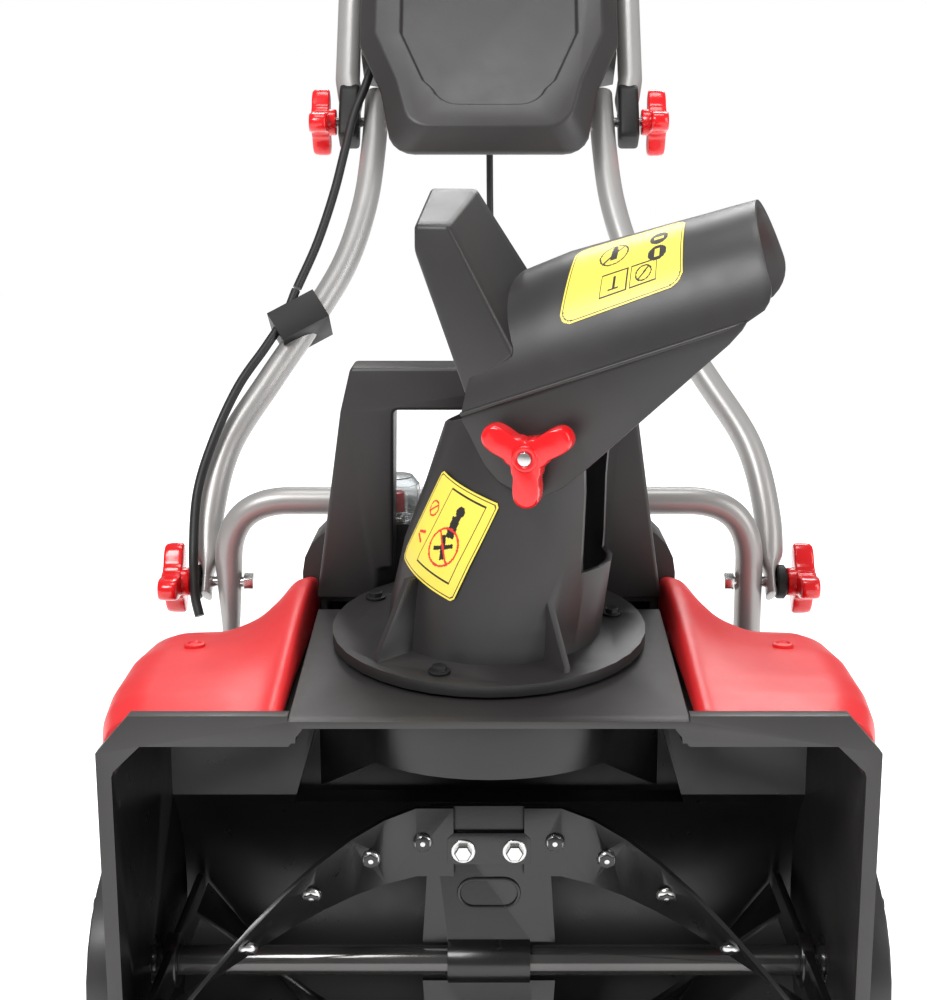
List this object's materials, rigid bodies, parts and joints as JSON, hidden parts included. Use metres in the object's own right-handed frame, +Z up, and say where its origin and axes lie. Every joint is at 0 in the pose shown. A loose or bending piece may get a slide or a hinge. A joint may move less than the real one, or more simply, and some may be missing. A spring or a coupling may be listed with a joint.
{
  "type": "snow blower",
  "caption": "Corded electric snow blower with an open auger intake, a turning chute with a tilting deflector, and a folding tube handle with a switch box.",
  "frame": {"origin": "on the ground under the middle of the whole machine", "axes": "+X to the right of somebody facing the intake, +Y back towards the grip bar, +Z up"},
  "size_m": [0.48, 0.7116, 0.95],
  "materials": {
    "housing_plastic": "moulded grey plastic, fine grain",
    "cover_red": "satin red plastic",
    "knob_red": "glossy red plastic",
    "tube_silver": "satin silver-grey paint",
    "zinc_steel": "zinc plated",
    "dark_steel": "black painted steel",
    "black_plastic": "black plastic",
    "cable_rubber": "black cable sheath",
    "tyre_rubber": "black rubber and foam",
    "clear_boot": "clear soft plastic"
  },
  "bodies": {
    "machine": {"auger_housing": "housing_plastic", "chute_collar": "housing_plastic", "red_cover_left": "cover_red", "red_cover_right": "cover_red", "side_cover_left": "housing_plastic", "side_cover_right": "housing_plastic", "bearing_left": "zinc_steel", "bearing_right": "zinc_steel", "scraper_bar": "dark_steel", "motor_cover": "housing_plastic", "carry_handle": "housing_plastic", "lower_handle_tube": "tube_silver", "motor": "dark_steel", "drive_belt": "cable_rubber", "wheel_axle": "zinc_steel", "reset_boot": "clear_boot", "lower_bolt_left": "zinc_steel", "lower_bolt_right": "zinc_steel"},
    "auger": {"auger_shaft": "zinc_steel", "paddle_hub": "dark_steel", "blade_upper_left": "dark_steel", "blade_upper_right": "dark_steel", "blade_lower_left": "dark_steel", "blade_lower_right": "dark_steel", "end_arm_left": "dark_steel", "end_arm_right": "dark_steel", "auger_pulley": "dark_steel"},
    "motor_rotor": {"motor_pulley": "zinc_steel"},
    "wheel_l": {"wheel_left": "tyre_rubber"},
    "wheel_r": {"wheel_right": "tyre_rubber"},
    "reset_key": {"reset_button": "black_plastic"},
    "chute_body": {"chute": "housing_plastic", "chute_screw_1": "zinc_steel", "chute_screw_2": "zinc_steel", "chute_screw_3": "zinc_steel", "deflector_bolt": "zinc_steel"},
    "deflector_body": {"deflector": "housing_plastic"},
    "chute_knob_body": {"chute_knob": "knob_red"},
    "lower_knob_l": {"lower_knob_left": "knob_red"},
    "lower_knob_r": {"lower_knob_right": "knob_red"},
    "mid_handle": {"mid_tube_left": "tube_silver", "mid_tube_right": "tube_silver", "cable_clip": "black_plastic", "power_cable_lower": "cable_rubber", "power_cable_upper": "cable_rubber", "upper_bolt_left": "zinc_steel", "upper_bolt_right": "zinc_steel", "plug_lead": "cable_rubber", "mains_plug": "black_plastic"},
    "upper_knob_l": {"upper_knob_left": "knob_red"},
    "upper_knob_r": {"upper_knob_right": "knob_red"},
    "upper_handle": {"upper_handle_tube": "tube_silver", "grip_sleeve": "tyre_rubber", "switch_box_front": "housing_plastic", "switch_box_rear": "housing_plastic", "trigger_switch": "black_plastic", "lead_relief": "black_plastic"},
    "bail": {"bail_lever": "tube_silver"},
    "lock_key": {"lock_button": "knob_red"}
  },
  "joints": [
    {"name": "auger_spin", "type": "hinge", "parent": "machine", "child": "auger", "pos_m": [0, -0.2518, 0.116], "axis": [1, 0, 0], "continuous": true},
    {"name": "motor_spin", "type": "hinge", "parent": "machine", "child": "motor_rotor", "pos_m": [0, -0.1028, 0.215], "axis": [1, 0, 0], "continuous": true},
    {"name": "wheel_left_spin", "type": "hinge", "parent": "machine", "child": "wheel_l", "pos_m": [-0.172, -0.0428, 0.078], "axis": [1, 0, 0], "continuous": true},
    {"name": "wheel_right_spin", "type": "hinge", "parent": "machine", "child": "wheel_r", "pos_m": [0.172, -0.0428, 0.078], "axis": [1, 0, 0], "continuous": true},
    {"name": "reset_press", "type": "slide", "parent": "machine", "child": "reset_key", "axis": [0, 0, -1], "range_m": [0, 0.003], "stiffness_N_per_m": 400},
    {"name": "chute_turn", "type": "hinge", "parent": "machine", "child": "chute_body", "pos_m": [0, -0.2178, 0.3215], "axis": [0, -0.0941, 0.9956], "range_deg": [-165, 15]},
    {"name": "deflector_tilt", "type": "hinge", "parent": "chute_body", "child": "deflector_body", "pos_m": [0.04154, -0.22893, 0.45], "axis": [0.2588, 0.9659, 0], "range_deg": [-2, 30]},
    {"name": "chute_knob_turn", "type": "hinge", "parent": "chute_body", "child": "chute_knob_body", "pos_m": [0.04154, -0.22893, 0.45], "axis": [-0.2588, -0.9659, 0], "continuous": true},
    {"name": "lower_knob_left_turn", "type": "hinge", "parent": "machine", "child": "lower_knob_l", "pos_m": [-0.226, -0.0478, 0.31], "axis": [1, 0, 0], "continuous": true},
    {"name": "lower_knob_right_turn", "type": "hinge", "parent": "machine", "child": "lower_knob_r", "pos_m": [0.226, -0.0478, 0.31], "axis": [1, 0, 0], "continuous": true},
    {"name": "lower_fold", "type": "hinge", "parent": "machine", "child": "mid_handle", "pos_m": [0, -0.0478, 0.31], "axis": [1, 0, 0], "range_deg": [-60, 0], "deforming": ["power_cable_lower"]},
    {"name": "upper_knob_left_turn", "type": "hinge", "parent": "mid_handle", "child": "upper_knob_l", "pos_m": [-0.132, 0.1582, 0.6415], "axis": [1, 0, 0], "continuous": true},
    {"name": "upper_knob_right_turn", "type": "hinge", "parent": "mid_handle", "child": "upper_knob_r", "pos_m": [0.132, 0.1582, 0.6415], "axis": [1, 0, 0], "continuous": true},
    {"name": "upper_fold", "type": "hinge", "parent": "mid_handle", "child": "upper_handle", "pos_m": [0, 0.1582, 0.6415], "axis": [1, 0, 0], "range_deg": [-145, 0], "deforming": ["power_cable_upper", "plug_lead"]},
    {"name": "bail_squeeze", "type": "hinge", "parent": "upper_handle", "child": "bail", "pos_m": [0, 0.22667, 0.80852], "axis": [1, 0, 0], "range_deg": [-10, 0], "stiffness_Nm_per_rad": 1.5, "springref_deg": 5.73},
    {"name": "lock_press", "type": "slide", "parent": "upper_handle", "child": "lock_key", "axis": [0, -0.5278, -0.8494], "range_m": [0, 0.005], "stiffness_N_per_m": 400}
  ],
  "couplings": [
    {"joint": "motor_spin", "follows": "auger_spin", "ratio": 3}
  ]
}
